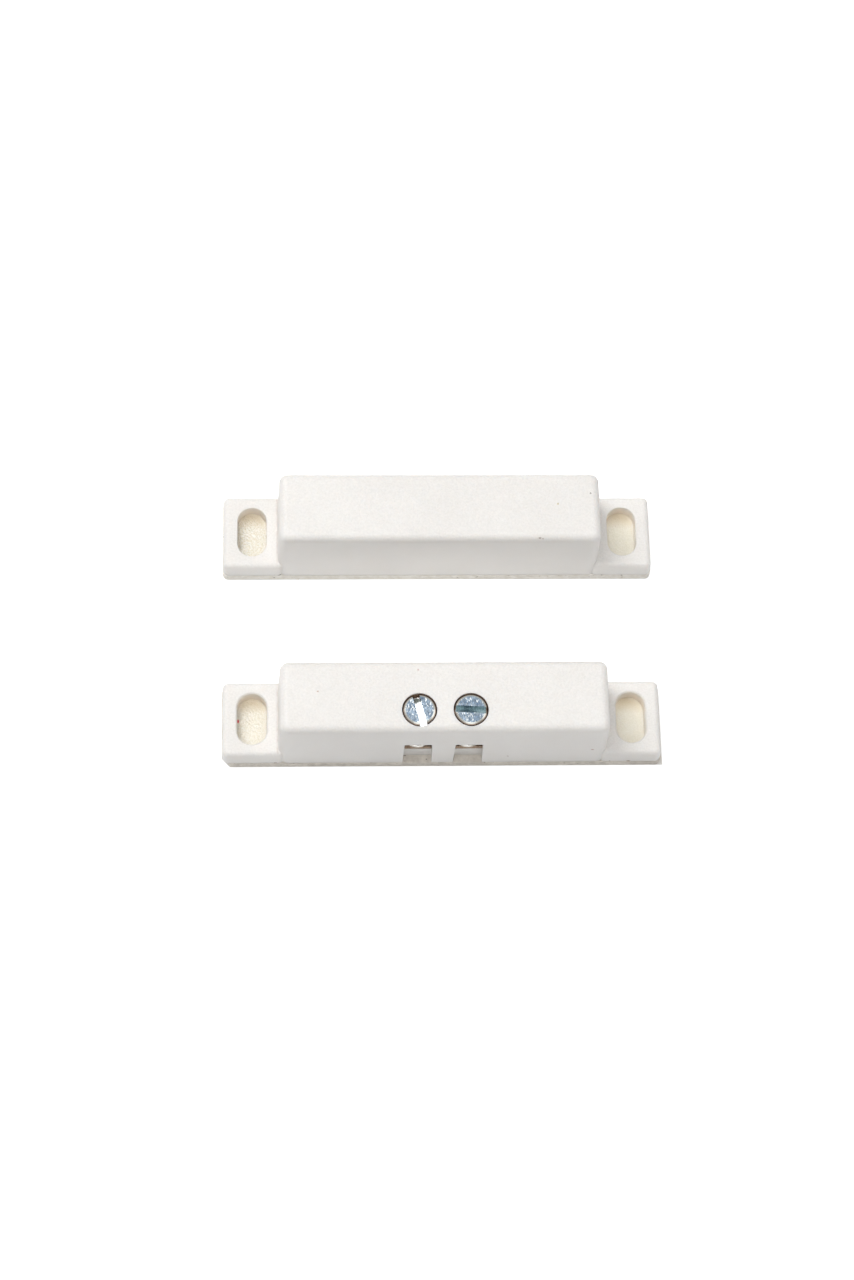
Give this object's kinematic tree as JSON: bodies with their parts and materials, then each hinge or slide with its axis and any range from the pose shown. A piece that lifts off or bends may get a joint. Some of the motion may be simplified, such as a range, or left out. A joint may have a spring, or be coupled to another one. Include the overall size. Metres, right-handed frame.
{
  "type": "magnetic door contact",
  "caption": "Surface-mount magnetic door contact: a switch half with screw terminals and a magnet half, each a white moulded housing with slotted ears on an adhesive foam pad.",
  "frame": {"origin": "centre of the switch half's base, on the surface that the pair is fixed to", "axes": "+X along both halves, +Y from the switch half to the magnet half, +Z out of the surface"},
  "size_m": [0.064, 0.0413, 0.0134],
  "materials": {
    "housing_white": "fine spark-eroded grain",
    "insert_white": "moulded, plain",
    "terminal_nickel": "nickel plated, dull",
    "washer_zinc": "zinc plated",
    "screw_zinc": "blue-passivated zinc plate",
    "reed_glass": "clear, pale green",
    "reed_alloy": "nickel-iron, satin",
    "solder": "soldered, smooth",
    "pad_foam": "closed-cell foam with adhesive faces",
    "pad_liner": "waxed release paper",
    "magnet_alloy": "cast magnet alloy, ground"
  },
  "bodies": {
    "housing_pair": {"switch_housing": "housing_white", "switch_base_insert": "insert_white", "terminal_plate_left": "terminal_nickel", "terminal_plate_right": "terminal_nickel", "reed_glass": "reed_glass", "reed_blade_left": "reed_alloy", "reed_blade_right": "reed_alloy", "solder_joint_left": "solder", "solder_joint_right": "solder", "switch_foam_pad": "pad_foam", "switch_release_liner": "pad_liner", "magnet_housing": "housing_white", "magnet_base_insert": "insert_white", "bar_magnet": "magnet_alloy", "magnet_foam_pad": "pad_foam", "magnet_release_liner": "pad_liner"},
    "left_clamp": {"clamp_washer_left": "washer_zinc"},
    "left_screw": {"terminal_screw_left": "screw_zinc"},
    "right_clamp": {"clamp_washer_right": "washer_zinc"},
    "right_screw": {"terminal_screw_right": "screw_zinc"}
  },
  "joints": [
    {"name": "left_clamp_lift", "type": "slide", "parent": "housing_pair", "child": "left_clamp", "axis": [0, 0, 1], "range_m": [0, 0.0015]},
    {"name": "left_screw_turn", "type": "hinge", "parent": "left_clamp", "child": "left_screw", "pos_m": [-0.00365, -0.00216, 0.008], "axis": [0, 0, 1], "range_deg": [0, 1080]},
    {"name": "right_clamp_lift", "type": "slide", "parent": "housing_pair", "child": "right_clamp", "axis": [0, 0, 1], "range_m": [0, 0.0015]},
    {"name": "right_screw_turn", "type": "hinge", "parent": "right_clamp", "child": "right_screw", "pos_m": [0.00365, -0.00216, 0.008], "axis": [0, 0, 1], "range_deg": [0, 1080]}
  ],
  "couplings": [
    {"joint": "left_screw_turn", "follows": "left_clamp_lift", "rad_per_m": 12566},
    {"joint": "right_screw_turn", "follows": "right_clamp_lift", "rad_per_m": 12566}
  ]
}
